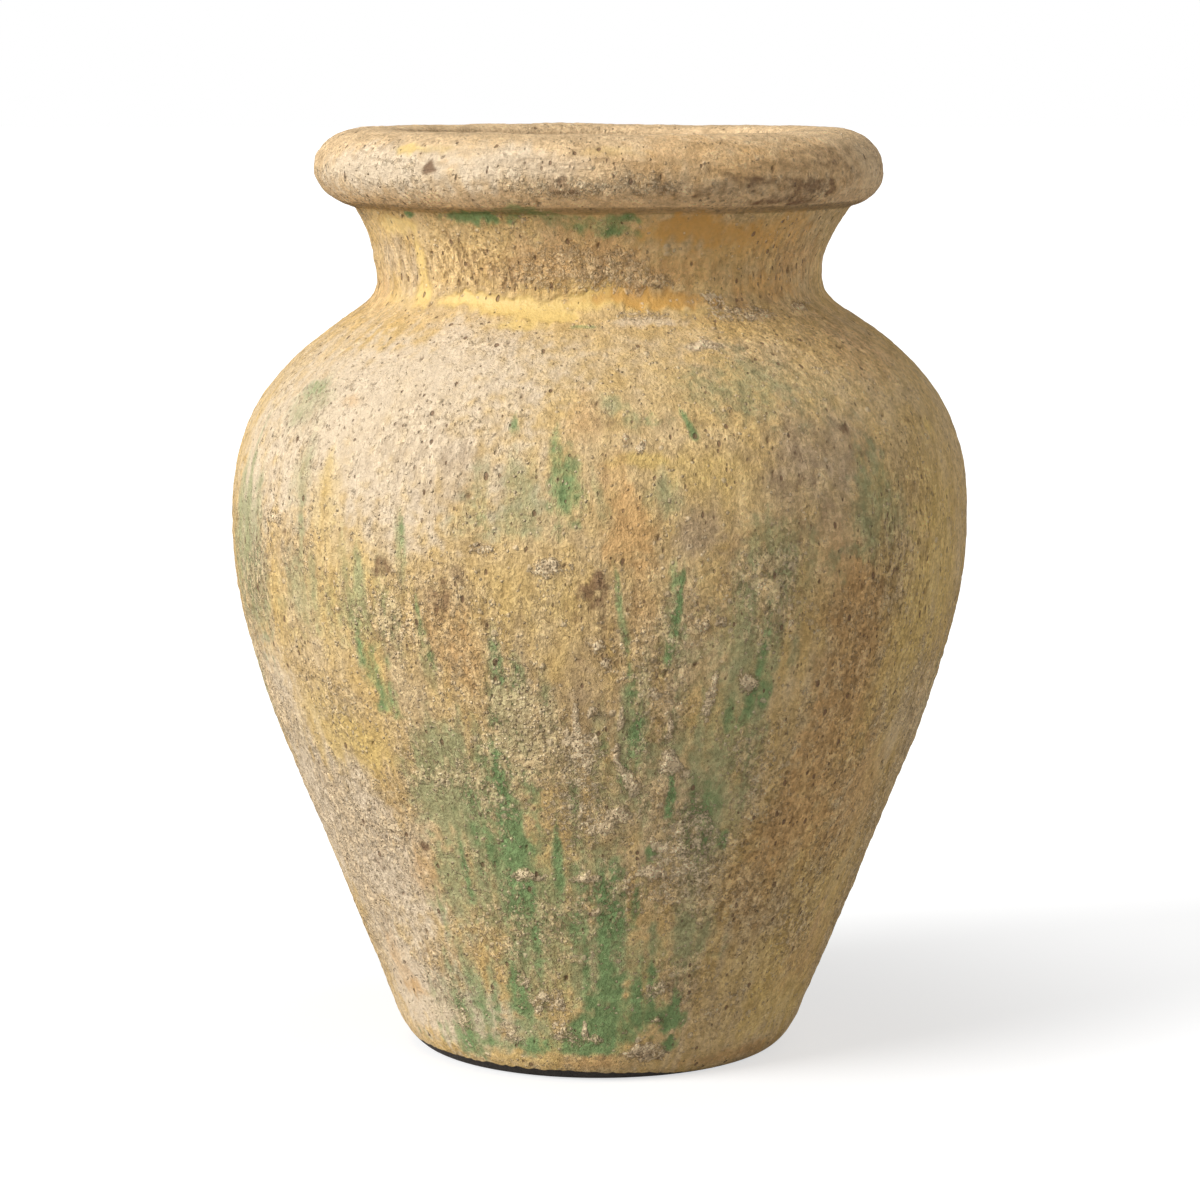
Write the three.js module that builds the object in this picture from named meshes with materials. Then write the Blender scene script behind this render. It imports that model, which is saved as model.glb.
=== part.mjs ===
// A wide-mouthed terracotta jar, built as a potter builds one: a dished base, three courses of wall,
// a neck collar and a rolled rim. Each piece sits on the next in a bevelled joint with a bed of slip.
// Millimetres, +Z up, with the origin at the centre of the underside.
import * as THREE from "three";

// Outside of the foot. Its rounded edge is drawn from the ground ring towards a corner.
const FOOT_RADIUS = 74;
const FOOT_CORNER_RADIUS = 82;
const FOOT_CORNER_RISE = 4.5;
const FOOT_RISE = 17.5;
const FOOT_TOP_RADIUS = 86.3;

// Outside of the wall above the foot: how far each stretch rises, and the radius at its top.
const CONE_RISE = 85.5;
const CONE_TOP_RADIUS = 120.5;
const BELLY_RISE = 116.5;
const BELLY_RADIUS = 151.6;
const SHOULDER_RISE = 86.5;
const SHOULDER_TOP_RADIUS = 101.2;
const SHOULDER_SLOPE = -1.65; // change of radius with height where the shoulder turns into the cove
const COVE_RISE = 13;
const NECK_RADIUS = 91.5; // waist of the neck
const NECK_RISE = 30.2; // from the waist up to the crease under the rim
const NECK_FLARE = 0.7; // change of radius with height at that crease

// Rolled rim: an oval coil that hangs over the neck.
const ROLL_OFFSET = 6; // middle of the coil, outside the neck's waist
const ROLL_REACH = 19; // from the middle of the coil to the widest ring of the rim
const ROLL_TOP = 16.2; // height of the coil above its widest ring
const ROLL_UNDER = 15; // depth of the coil below that ring
const CREASE_ANGLE = 76; // degrees below the middle of the coil at which it meets the neck
const LIP_POWER = 6; // squares the mouth side of the coil, where a power of 2 would leave it oval

// Thickness of the clay.
const WALL = 11;
const FLOOR = 14;
const FLOOR_FILLET = 14; // between the floor and the wall

// Heights of the pieces, measured on the outside. The shoulder course takes what is left.
const BASE_HEIGHT = 36;
const LOWER_HEIGHT = 78;
const BELLY_HEIGHT = 101;
const COLLAR_DROP = 6.5; // from the neck's waist down to the joint of collar and shoulder

// Joints. The inner edge of a joint lies BEVEL lower than its outer edge.
const BEVEL = 4;
const SLIP = 1; // height of a bed of slip
const CLEARANCE = 0.3; // between a bed of slip and the clay on either side

// Fineness of the facets.
const TURN_STEPS = 64;
const WALL_STEP = 15; // longest rise between two points of a wall
const CURVE_STEPS = 6; // steps along a rounded edge or a quarter of the rim
const HALVINGS = 40; // of the span in which a level of the wall is searched for

// Levels that follow from the rises.
const coneTop = FOOT_RISE + CONE_RISE;
const bellyLevel = coneTop + BELLY_RISE;
const shoulderTop = bellyLevel + SHOULDER_RISE;
const waistLevel = shoulderTop + COVE_RISE;
const creaseLevel = waistLevel + NECK_RISE;
const rollRadius = NECK_RADIUS + ROLL_OFFSET;
const creaseAngle = THREE.MathUtils.degToRad(CREASE_ANGLE);
const rollLevel = creaseLevel + ROLL_UNDER * Math.sin(creaseAngle);
const boreRadius = NECK_RADIUS - WALL;

// Stations that the outside of the wall runs through: level, radius and slope of radius with height.
const coneSlope = (CONE_TOP_RADIUS - FOOT_TOP_RADIUS) / CONE_RISE;
const creaseRadius = rollRadius + ROLL_REACH * Math.cos(creaseAngle);
const stations = [
  { level: FOOT_RISE, radius: FOOT_TOP_RADIUS, slope: coneSlope },
  { level: coneTop, radius: CONE_TOP_RADIUS, slope: coneSlope },
  { level: bellyLevel, radius: BELLY_RADIUS, slope: 0 },
  { level: shoulderTop, radius: SHOULDER_TOP_RADIUS, slope: SHOULDER_SLOPE },
  { level: waistLevel, radius: NECK_RADIUS, slope: 0 },
  { level: creaseLevel, radius: creaseRadius, slope: NECK_FLARE },
];

// Radius and slope of the outside of the wall at a level, by a cubic between the stations around it.
function wallAt(level) {
  const above = stations.findIndex((s, i) => i > 0 && level <= s.level);
  const high = stations[above < 0 ? stations.length - 1 : above];
  const low = stations[stations.indexOf(high) - 1];
  const rise = high.level - low.level;
  const t = (level - low.level) / rise;
  const radius =
    low.radius * (2 * t ** 3 - 3 * t ** 2 + 1) +
    high.radius * (3 * t ** 2 - 2 * t ** 3) +
    rise * (low.slope * (t ** 3 - 2 * t ** 2 + t) + high.slope * (t ** 3 - t ** 2));
  const slope =
    ((high.radius - low.radius) * 6 * (t - t ** 2)) / rise +
    low.slope * (3 * t ** 2 - 4 * t + 1) +
    high.slope * (3 * t ** 2 - 2 * t);
  return { radius, slope };
}

// A point of the rim's oval, at an angle up from its widest ring. The mouth side is narrower and squarer.
function rollPoint(angle) {
  const across = Math.cos(angle);
  const up = Math.sin(angle);
  if (across < 0) {
    const reach = (rollRadius - boreRadius) * Math.abs(across) ** (2 / LIP_POWER);
    return new THREE.Vector2(rollRadius - reach, rollLevel + ROLL_TOP * Math.abs(up) ** (2 / LIP_POWER));
  }
  const rise = up > 0 ? ROLL_TOP : ROLL_UNDER;
  return new THREE.Vector2(rollRadius + ROLL_REACH * across, rollLevel + rise * up);
}

// The angle at which the rim's underside reaches a level.
function rollAngle(level) {
  return Math.asin((level - rollLevel) / ROLL_UNDER);
}

// A point of the outside: the wall up to the crease, and the rim's underside over it.
function outerPoint(level) {
  if (level > creaseLevel) return rollPoint(rollAngle(level));
  return new THREE.Vector2(wallAt(level).radius, level);
}

// The point of the inside that faces a level of the outside, one wall deep and square to the outside.
function innerFacing(level) {
  const { radius, slope } = wallAt(level);
  const depth = WALL / Math.hypot(1, slope);
  return new THREE.Vector2(radius - depth, level + depth * slope);
}

// The point of the inside at a level: a straight bore above the neck's waist, and below it the inside
// of the wall, found by halving the span of outside levels that can face it.
function innerPoint(level) {
  if (level > waistLevel) return new THREE.Vector2(boreRadius, level);
  let low = FOOT_RISE;
  let high = waistLevel;
  for (let i = 0; i < HALVINGS; i += 1) {
    const middle = (low + high) / 2;
    if (innerFacing(middle).y < level) low = middle;
    else high = middle;
  }
  return new THREE.Vector2(innerFacing(low).x, level);
}

// Points of one side of the wall from one level to another, at even rises.
function stretch(pointAt, from, to, longest = WALL_STEP) {
  const steps = Math.max(1, Math.ceil(Math.abs(to - from) / longest));
  return Array.from({ length: steps + 1 }, (_, i) => pointAt(from + ((to - from) * i) / steps));
}

// The outline of a ring of wall between two levels of the outside.
function ringOutline(low, high, longest) {
  return [
    ...stretch(outerPoint, low, high, longest),
    ...stretch(innerPoint, high - BEVEL, low - BEVEL, longest),
  ];
}

// The joints, from the ground up, and what each piece keeps clear of them.
const baseJoint = BASE_HEIGHT;
const lowerJoint = baseJoint + LOWER_HEIGHT;
const bellyJoint = lowerJoint + BELLY_HEIGHT;
const neckJoint = waistLevel - COLLAR_DROP;
const rimJoint = creaseLevel;
const keepClear = SLIP / 2 + CLEARANCE;

// The dished base: flat underside, rounded foot, a start of wall, and a floor with a fillet.
function baseOutline() {
  const foot = new THREE.QuadraticBezierCurve(
    new THREE.Vector2(FOOT_RADIUS, 0),
    new THREE.Vector2(FOOT_CORNER_RADIUS, FOOT_CORNER_RISE),
    new THREE.Vector2(FOOT_TOP_RADIUS, FOOT_RISE),
  );
  const top = baseJoint - keepClear;
  const innerTop = innerPoint(top - BEVEL);
  const filletRise = Math.min(FLOOR_FILLET, innerTop.y - FLOOR);
  const corner = new THREE.Vector2(innerTop.x - coneSlope * (innerTop.y - FLOOR), FLOOR);
  const fillet = new THREE.QuadraticBezierCurve(
    new THREE.Vector2(corner.x + coneSlope * filletRise, FLOOR + filletRise),
    corner,
    new THREE.Vector2(corner.x - filletRise, FLOOR),
  );
  return [
    new THREE.Vector2(0, 0),
    ...foot.getPoints(CURVE_STEPS),
    ...stretch(outerPoint, FOOT_RISE, top).slice(1),
    innerTop,
    ...fillet.getPoints(CURVE_STEPS),
    new THREE.Vector2(0, FLOOR),
  ];
}

// Points of the rim's oval from one angle to another.
function rollArc(from, to) {
  const steps = Math.ceil(((to - from) / (Math.PI / 2)) * CURVE_STEPS);
  return Array.from({ length: steps + 1 }, (_, i) => rollPoint(from + ((to - from) * i) / steps));
}

// The rolled rim: its underside from the crease, over the top, and down the bore to the joint.
function rimOutline() {
  return [
    ...rollArc(rollAngle(rimJoint + keepClear), Math.PI / 2),
    ...rollArc(Math.PI / 2, Math.PI).slice(1),
    innerPoint(rimJoint - BEVEL + keepClear),
  ];
}

// A solid turned from an outline, which is closed unless it begins and ends on the axis.
function turned(name, outline, material) {
  const first = outline[0];
  const profile = first.x === 0 ? outline : [...outline, first];
  const mesh = new THREE.Mesh(new THREE.LatheGeometry(profile, TURN_STEPS), material);
  mesh.name = name;
  return mesh;
}

// The fired and weathered surfaces, from the dark foot to the sandy rim.
function clay(color, roughness) {
  return new THREE.MeshStandardMaterial({ color, roughness, metalness: 0 });
}
const stainedFoot = clay(0x7f7a4a, 0.9);
const mossyGlaze = clay(0x9c8f5c, 0.8);
const streakedGlaze = clay(0xb39a63, 0.8);
const sandyShoulder = clay(0xcbb07f, 0.9);
const ochreNeck = clay(0xc59d5b, 0.75);
const sandyRim = clay(0xcdb285, 0.95);
const slip = clay(0xb58f62, 0.95);

// Lathes turn about Y, and the jar stands along Z.
const wheel = new THREE.Group();
wheel.rotation.x = Math.PI / 2;

// A course of wall between two joints, and a bed of slip in a joint.
function course(name, low, high, material, longest) {
  wheel.add(turned(name, ringOutline(low + keepClear, high - keepClear, longest), material));
}
function slipBed(name, joint) {
  wheel.add(turned(name, ringOutline(joint - SLIP / 2, joint + SLIP / 2), slip));
}

wheel.add(turned("base_dish", baseOutline(), stainedFoot));
slipBed("base_slip_bed", baseJoint);
course("lower_course", baseJoint, lowerJoint, mossyGlaze, LOWER_HEIGHT / 3);
slipBed("lower_slip_bed", lowerJoint);
course("belly_course", lowerJoint, bellyJoint, streakedGlaze);
slipBed("belly_slip_bed", bellyJoint);
course("shoulder_course", bellyJoint, neckJoint, sandyShoulder);
slipBed("neck_slip_bed", neckJoint);
course("neck_collar", neckJoint, rimJoint, ochreNeck, NECK_RISE / 4);
slipBed("rim_slip_bed", rimJoint);
wheel.add(turned("rim_roll", rimOutline(), sandyRim));

const jar = new THREE.Group();
jar.add(wheel);

export default jar;
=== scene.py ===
"""A weathered, wide-mouthed terracotta jar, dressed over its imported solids.

Lengths are in millimetres until a mesh is made, with +Z up and the origin at the centre of the underside.
An azimuth of 0 faces the camera, which looks along +Y, and grows towards +X.
"""
import itertools
import math

import bpy
import numpy as np
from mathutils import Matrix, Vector


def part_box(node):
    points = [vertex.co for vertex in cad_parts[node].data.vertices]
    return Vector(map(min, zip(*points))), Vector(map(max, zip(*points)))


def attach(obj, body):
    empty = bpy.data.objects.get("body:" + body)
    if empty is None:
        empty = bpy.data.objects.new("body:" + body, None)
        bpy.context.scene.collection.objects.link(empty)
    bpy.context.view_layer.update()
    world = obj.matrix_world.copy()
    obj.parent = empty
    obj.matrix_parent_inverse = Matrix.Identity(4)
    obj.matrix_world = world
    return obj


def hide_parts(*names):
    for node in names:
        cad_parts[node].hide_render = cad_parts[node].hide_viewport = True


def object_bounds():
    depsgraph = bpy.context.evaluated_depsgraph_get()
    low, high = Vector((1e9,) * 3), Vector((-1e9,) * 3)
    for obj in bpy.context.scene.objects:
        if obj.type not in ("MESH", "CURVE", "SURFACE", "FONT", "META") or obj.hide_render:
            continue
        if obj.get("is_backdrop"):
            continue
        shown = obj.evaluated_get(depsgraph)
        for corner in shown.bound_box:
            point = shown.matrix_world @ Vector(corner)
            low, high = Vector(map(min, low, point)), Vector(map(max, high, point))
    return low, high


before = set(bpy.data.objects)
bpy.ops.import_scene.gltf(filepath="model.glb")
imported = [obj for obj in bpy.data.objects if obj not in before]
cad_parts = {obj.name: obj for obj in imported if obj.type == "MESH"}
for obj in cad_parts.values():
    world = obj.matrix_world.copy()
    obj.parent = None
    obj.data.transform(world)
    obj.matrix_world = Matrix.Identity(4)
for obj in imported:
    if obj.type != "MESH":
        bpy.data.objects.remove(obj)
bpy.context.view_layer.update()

MM = 0.001
SEED = 11

# The photograph's camera, and where a ray from it is searched for the jar, from the distance of the axis.
FRAME_PX = 1200
FOCAL_PX = 3906.9
CAMERA_BACK = 1611
CAMERA_HEIGHT = 410.65
CAMERA_PITCH = math.radians(7.976)
SENSOR = 36
RAY_REACH = (-200, 60)
RAY_STEPS = 1200

# The outline, as in the solids: the foot, stations of the wall (level, radius, slope) and the rim's oval.
FOOT_RADIUS = 74
FOOT_CORNER = (82, 4.5)
FOOT_TOP = (86.3, 17.5)
CONE_SLOPE = 0.4
WAIST_LEVEL = 319
NECK_RADIUS = 91.5
CREASE_LEVEL = 349.2
STATIONS = np.array([
    (FOOT_TOP[1], FOOT_TOP[0], CONE_SLOPE),
    (103, 120.5, CONE_SLOPE),
    (219.5, 151.6, 0),
    (306, 101.2, -1.65),
    (WAIST_LEVEL, NECK_RADIUS, 0),
    (CREASE_LEVEL, 102.1, 0.7),
])
CREASE_ANGLE = math.radians(76)
ROLL_OFFSET = 6  # middle of the oval, outside the neck's waist
ROLL_RADIUS = NECK_RADIUS + ROLL_OFFSET
ROLL_REACH = 19
ROLL_TOP = 16.2
ROLL_UNDER = 15
LIP_POWER = 6  # squares the mouth side of the rim, where a power of 2 would leave it oval
WALL = 11
BORE_RADIUS = NECK_RADIUS - WALL
FLOOR = 14
FLOOR_FILLET = 14
ROLL_LEVEL = CREASE_LEVEL + ROLL_UNDER * math.sin(CREASE_ANGLE)

# Joints of the clay pieces, from the ground up. Each is filled by a bed of slip.
COURSES = ["base_dish", "lower_course", "belly_course", "shoulder_course", "neck_collar", "rim_roll"]
COURSE_SLOTS = [
    "stained_foot", "mossy_glaze", "streaked_glaze", "sandy_shoulder", "ochre_neck", "sandy_rim",
]
BEDS = ["base_slip_bed", "lower_slip_bed", "belly_slip_bed", "neck_slip_bed", "rim_slip_bed"]
SLIP = 1
CLEARANCE = 0.3
BEVEL = 4
SEAM = SLIP / 2 + CLEARANCE / 2
JOINTS = [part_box(bed)[1].z / MM - SLIP / 2 for bed in BEDS]

# Fineness of the meshes.
PATH_STEP = 0.25
PATH_BLUR = 0.9
BLUR_REACH = 4  # how far the softening of corners reaches, in blurs
CORNER_POINTS = 40
ROLL_POINTS = 300
SKIN_COLUMNS = 840
INNER_COLUMNS = 420
POLE_COLUMNS = 210
POLE_RADIUS = 35
SKIN_STEP = 1.2
INNER_STEP = 5
MOUTH_DEPTH = 60  # how far the fine surface reaches down into the mouth
MAP_CUTS = (1, 2, 3, 5, 6, 7)  # lengths that a texture map can be cut into: each divides every ring
MAP_INSET = 0.004
TINY = 1e-9

# Marks on the glaze, set one by one on the photograph. Each is an oval that follows the curve of the jar:
# pixel across, pixel down, half width, half height, strength and, where it slants, its lean.
MOSS = [
    (310, 400, 24, 40, 0.5), (304, 480, 18, 60, 0.35), (305, 585, 36, 66, 0.5), (345, 600, 44, 66, 0.3),
    (372, 600, 34, 66, 0.35), (740, 380, 52, 46, 0.4), (695, 400, 36, 36, 0.25), (795, 390, 60, 46, 0.25),
    (505, 490, 56, 56, 0.45), (482, 520, 50, 26, 0.35), (600, 500, 9, 36, 0.4, 0.3),
    (612, 404, 18, 18, 0.5, 0.5), (627, 417, 14, 16, 0.4), (665, 492, 26, 28, 0.5),
    (880, 505, 34, 70, 0.6), (868, 470, 20, 46, 0.3), (775, 560, 66, 56, 0.45), (750, 640, 62, 66, 0.5),
    (720, 725, 56, 66, 0.6), (722, 800, 56, 76, 0.4), (700, 862, 50, 56, 0.3), (690, 930, 44, 56, 0.6),
    (504, 690, 26, 80, 0.9, 0.08), (540, 740, 50, 66, 0.5), (470, 780, 66, 76, 0.5),
    (440, 770, 56, 66, 0.4), (480, 880, 56, 86, 0.8), (540, 880, 46, 86, 0.75), (590, 870, 46, 86, 0.6),
    (620, 740, 46, 66, 0.45), (560, 960, 78, 78, 0.8), (470, 992, 60, 60, 0.6), (620, 950, 56, 66, 0.75),
    (460, 1040, 56, 20, 0.5), (540, 1032, 68, 28, 0.7), (404, 570, 9, 70, 0.5, 0.2),
    (360, 615, 16, 50, 0.5), (425, 650, 9, 44, 0.5, 0.2), (640, 700, 20, 60, 0.5),
    (670, 620, 16, 60, 0.5), (246, 540, 22, 130, 0.7), (262, 690, 20, 66, 0.45), (355, 566, 14, 24, 0.4),
    (600, 800, 60, 60, 0.35),
]
GREEN = [
    (470, 214, 42, 9, 0.85), (520, 211, 40, 7, 0.6), (560, 220, 24, 9, 0.25), (600, 225, 34, 13, 0.5),
    (625, 218, 16, 7, 0.75), (620, 232, 22, 7, 0.5), (406, 213, 6, 4, 1.0), (582, 327, 16, 3, 0.6),
    (312, 389, 14, 14, 0.35), (514, 424, 6, 16, 0.6, 0.1), (483, 522, 14, 14, 0.35),
    (566, 498, 18, 28, 0.35), (557, 470, 13, 50, 0.55, 0.12), (572, 478, 12, 44, 0.5, 0.15),
    (504, 680, 16, 60, 0.3), (557, 532, 9, 12, 0.25), (686, 424, 5, 22, 0.8, 0.3),
    (650, 415, 7, 16, 0.35, 0.2), (405, 545, 5, 34, 0.4, 0.2), (420, 620, 4, 46, 0.6, 0.2),
    (372, 664, 15, 50, 0.9, 0.15), (386, 700, 12, 20, 0.8), (672, 572, 6, 28, 0.45),
    (677, 612, 5, 44, 0.45, -0.1), (668, 655, 6, 22, 0.6, -0.1), (620, 610, 7, 64, 0.7, 0.15),
    (632, 680, 8, 40, 0.6, 0.1), (638, 735, 9, 30, 0.6), (606, 745, 8, 20, 0.6), (625, 776, 9, 12, 0.6),
    (730, 714, 9, 24, 0.5), (750, 700, 6, 32, 0.5, -0.15), (766, 635, 6, 56, 0.4, -0.05),
    (765, 690, 9, 20, 0.3), (496, 765, 5, 34, 0.85, 0.1), (506, 800, 5, 40, 0.4, 0.15),
    (502, 662, 14, 46, 0.35, 0.1), (467, 876, 5, 46, 0.8), (519, 870, 7, 50, 0.7), (532, 840, 5, 28, 0.7),
    (558, 856, 6, 50, 0.65), (488, 842, 5, 34, 0.5), (610, 886, 5, 34, 0.6), (634, 895, 6, 34, 0.8),
    (602, 925, 6, 56, 0.75), (606, 966, 9, 40, 0.8), (690, 842, 30, 44, 0.15), (706, 800, 22, 40, 0.15),
    (724, 838, 8, 12, 0.5), (655, 850, 9, 16, 0.7), (671, 800, 5, 34, 0.7), (632, 1006, 52, 50, 1.0),
    (600, 1034, 34, 24, 0.9), (560, 1046, 70, 12, 0.7), (486, 996, 40, 34, 0.3),
    (480, 1024, 46, 30, 0.35), (452, 1040, 44, 20, 0.4), (668, 1016, 22, 20, 0.6),
    (640, 976, 24, 30, 0.6), (576, 1033, 17, 17, 0.7), (516, 985, 10, 34, 0.6), (536, 1045, 32, 12, 0.5),
    (671, 1043, 8, 10, 0.6), (545, 1000, 60, 40, 0.4), (536, 930, 6, 50, 0.5), (572, 930, 5, 40, 0.5),
    (586, 980, 6, 40, 0.5), (444, 920, 5, 40, 0.4), (540, 870, 70, 110, 0.35), (500, 810, 46, 80, 0.2),
    (620, 910, 50, 70, 0.3),
]
YELLOW = [
    (411, 147, 16, 8, 0.8), (443, 147, 30, 6, 0.4), (615, 150, 44, 9, 0.45), (393, 222, 28, 14, 0.7),
    (422, 256, 7, 32, 0.9, 0.06), (425, 290, 11, 20, 0.95), (395, 300, 20, 10, 0.35),
    (470, 300, 42, 11, 1.0), (512, 308, 54, 14, 1.0), (545, 316, 44, 10, 0.95), (590, 302, 58, 14, 0.8),
    (515, 326, 32, 7, 0.7), (612, 294, 38, 14, 0.9), (655, 303, 40, 11, 0.7), (700, 312, 34, 8, 0.4),
    (326, 490, 18, 60, 0.5), (345, 562, 62, 50, 0.35), (277, 600, 16, 60, 0.5), (332, 625, 54, 50, 0.4),
    (332, 722, 54, 54, 0.5), (365, 746, 54, 34, 0.45), (640, 459, 40, 10, 0.75), (690, 465, 52, 30, 0.45),
    (680, 377, 36, 16, 0.3), (926, 424, 6, 16, 0.6), (925, 480, 36, 76, 0.35), (935, 570, 44, 100, 0.6),
    (900, 665, 44, 90, 0.4), (530, 585, 66, 44, 0.35), (560, 642, 56, 56, 0.2), (450, 870, 34, 56, 0.3),
    (520, 1052, 66, 14, 0.4), (450, 1008, 50, 40, 0.2), (780, 1000, 54, 54, 0.55),
    (822, 885, 34, 90, 0.4), (762, 962, 44, 44, 0.4), (740, 485, 54, 40, 0.3),
]
AMBER = [
    (690, 225, 54, 20, 0.9), (742, 236, 36, 16, 0.7), (788, 225, 36, 24, 0.6), (770, 286, 50, 20, 0.5),
    (635, 296, 56, 15, 0.8), (680, 302, 66, 12, 0.7), (800, 255, 40, 40, 0.35), (740, 250, 70, 30, 0.35),
]
ORANGE = [
    (630, 532, 32, 44, 0.8), (612, 480, 24, 46, 0.5), (580, 420, 24, 34, 0.45), (762, 540, 46, 17, 0.6),
    (842, 560, 46, 66, 0.45), (855, 642, 50, 96, 0.6), (830, 742, 46, 86, 0.6), (790, 820, 54, 66, 0.6),
    (752, 882, 46, 66, 0.4), (810, 950, 34, 66, 0.4), (440, 622, 32, 66, 0.45), (472, 652, 22, 62, 0.45),
    (642, 600, 22, 46, 0.45), (400, 960, 16, 46, 0.5), (418, 986, 12, 14, 0.6), (426, 870, 28, 40, 0.45),
    (396, 790, 26, 44, 0.3), (600, 1062, 60, 11, 0.6), (740, 1052, 66, 12, 0.5), (580, 258, 120, 36, 0.6),
    (560, 196, 90, 6, 0.3), (380, 282, 24, 36, 0.35), (353, 399, 16, 9, 0.35), (855, 800, 34, 90, 0.5),
    (800, 262, 34, 30, 0.4), (760, 165, 60, 24, 0.4), (690, 750, 16, 20, 0.4), (615, 835, 18, 36, 0.35),
    (855, 350, 60, 40, 0.4), (690, 275, 60, 22, 0.4), (700, 150, 90, 40, 0.5), (820, 160, 70, 40, 0.5),
    (590, 160, 80, 30, 0.3),
]
BROWN = [
    (431, 168, 9, 10, 0.85), (522, 159, 4, 5, 0.4), (558, 187, 26, 11, 0.55), (565, 180, 9, 10, 0.7),
    (576, 192, 7, 6, 0.7), (645, 184, 42, 11, 0.45), (757, 188, 26, 11, 0.45), (815, 186, 32, 13, 0.75),
    (780, 201, 48, 6, 0.75), (820, 162, 34, 10, 0.4), (797, 152, 44, 4, 0.4), (794, 139, 16, 3, 0.45),
    (766, 253, 7, 14, 0.35, 0.2), (382, 567, 16, 16, 0.7), (434, 598, 14, 22, 0.6),
    (450, 575, 20, 24, 0.45), (484, 626, 11, 9, 0.4), (597, 583, 11, 17, 1.0), (584, 590, 10, 9, 0.9),
    (595, 602, 9, 10, 0.5), (548, 567, 17, 11, 0.4), (575, 625, 11, 16, 0.35),
    (603, 418, 17, 13, 0.5, 0.6), (720, 445, 15, 10, 0.35), (722, 578, 14, 20, 0.45),
    (842, 428, 10, 8, 0.6), (858, 452, 5, 30, 0.4, 0.4), (905, 420, 5, 6, 0.5), (917, 440, 7, 8, 0.6),
    (800, 500, 30, 50, 0.3), (853, 504, 10, 9, 0.4), (792, 540, 11, 12, 0.45), (768, 562, 12, 12, 0.45),
    (380, 862, 13, 16, 0.45), (424, 845, 8, 7, 0.8), (426, 860, 18, 14, 0.25), (456, 906, 9, 8, 0.4),
    (362, 700, 13, 8, 0.4), (430, 950, 8, 8, 0.5), (590, 947, 8, 8, 0.4), (587, 879, 14, 6, 0.4),
    (645, 1054, 20, 11, 0.5), (688, 1001, 6, 6, 0.5), (728, 265, 34, 30, 0.2), (800, 440, 60, 60, 0.2),
    (570, 620, 70, 60, 0.3), (470, 600, 60, 50, 0.3), (770, 180, 60, 9, 0.55), (850, 172, 26, 20, 0.4),
    (690, 190, 44, 9, 0.5), (720, 170, 50, 8, 0.4), (835, 150, 40, 14, 0.45),
]
GREY = [
    (458, 480, 44, 46, 0.4), (700, 526, 30, 44, 0.65), (735, 572, 24, 46, 0.45), (792, 485, 56, 66, 0.4),
    (842, 445, 40, 46, 0.45), (850, 522, 34, 66, 0.35), (430, 590, 28, 34, 0.3), (722, 186, 30, 12, 0.35),
    (300, 560, 30, 60, 0.3), (640, 1053, 26, 11, 0.6), (735, 300, 60, 12, 0.4), (600, 700, 80, 90, 0.5),
    (740, 372, 70, 40, 0.3), (790, 165, 60, 24, 0.3), (800, 430, 70, 60, 0.4),
]
# Cream marks: partly pale glaze, partly painted light, laid strongest on the lit left side and the lower
# left.
CREAM = [
    (390, 400, 170, 110, 0.7), (310, 450, 80, 110, 0.4), (310, 370, 80, 70, 0.4), (262, 450, 44, 90, 0.4),
    (420, 470, 90, 70, 0.4), (470, 352, 120, 56, 0.4), (600, 360, 100, 44, 0.22), (690, 342, 76, 24, 0.2),
    (375, 165, 90, 36, 0.8), (490, 152, 100, 22, 0.4), (324, 800, 54, 86, 0.85), (368, 872, 44, 76, 0.7),
    (388, 940, 34, 66, 0.6), (284, 705, 30, 66, 0.5), (248, 520, 22, 130, 0.6), (262, 660, 24, 90, 0.4),
    (440, 1002, 60, 50, 0.6), (640, 322, 44, 7, 0.6), (700, 345, 20, 6, 0.6, 0.3),
    (385, 520, 60, 56, 0.4), (404, 965, 24, 50, 0.8), (400, 880, 50, 80, 0.4), (300, 640, 60, 110, 0.35),
    (520, 165, 90, 24, 0.6), (872, 160, 30, 30, 0.2), (640, 150, 80, 20, 0.2), (360, 830, 90, 120, 0.6),
    (440, 1000, 86, 60, 0.9), (400, 258, 44, 44, 0.4), (790, 262, 50, 40, 0.25), (560, 258, 110, 36, 0.3),
]
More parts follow.
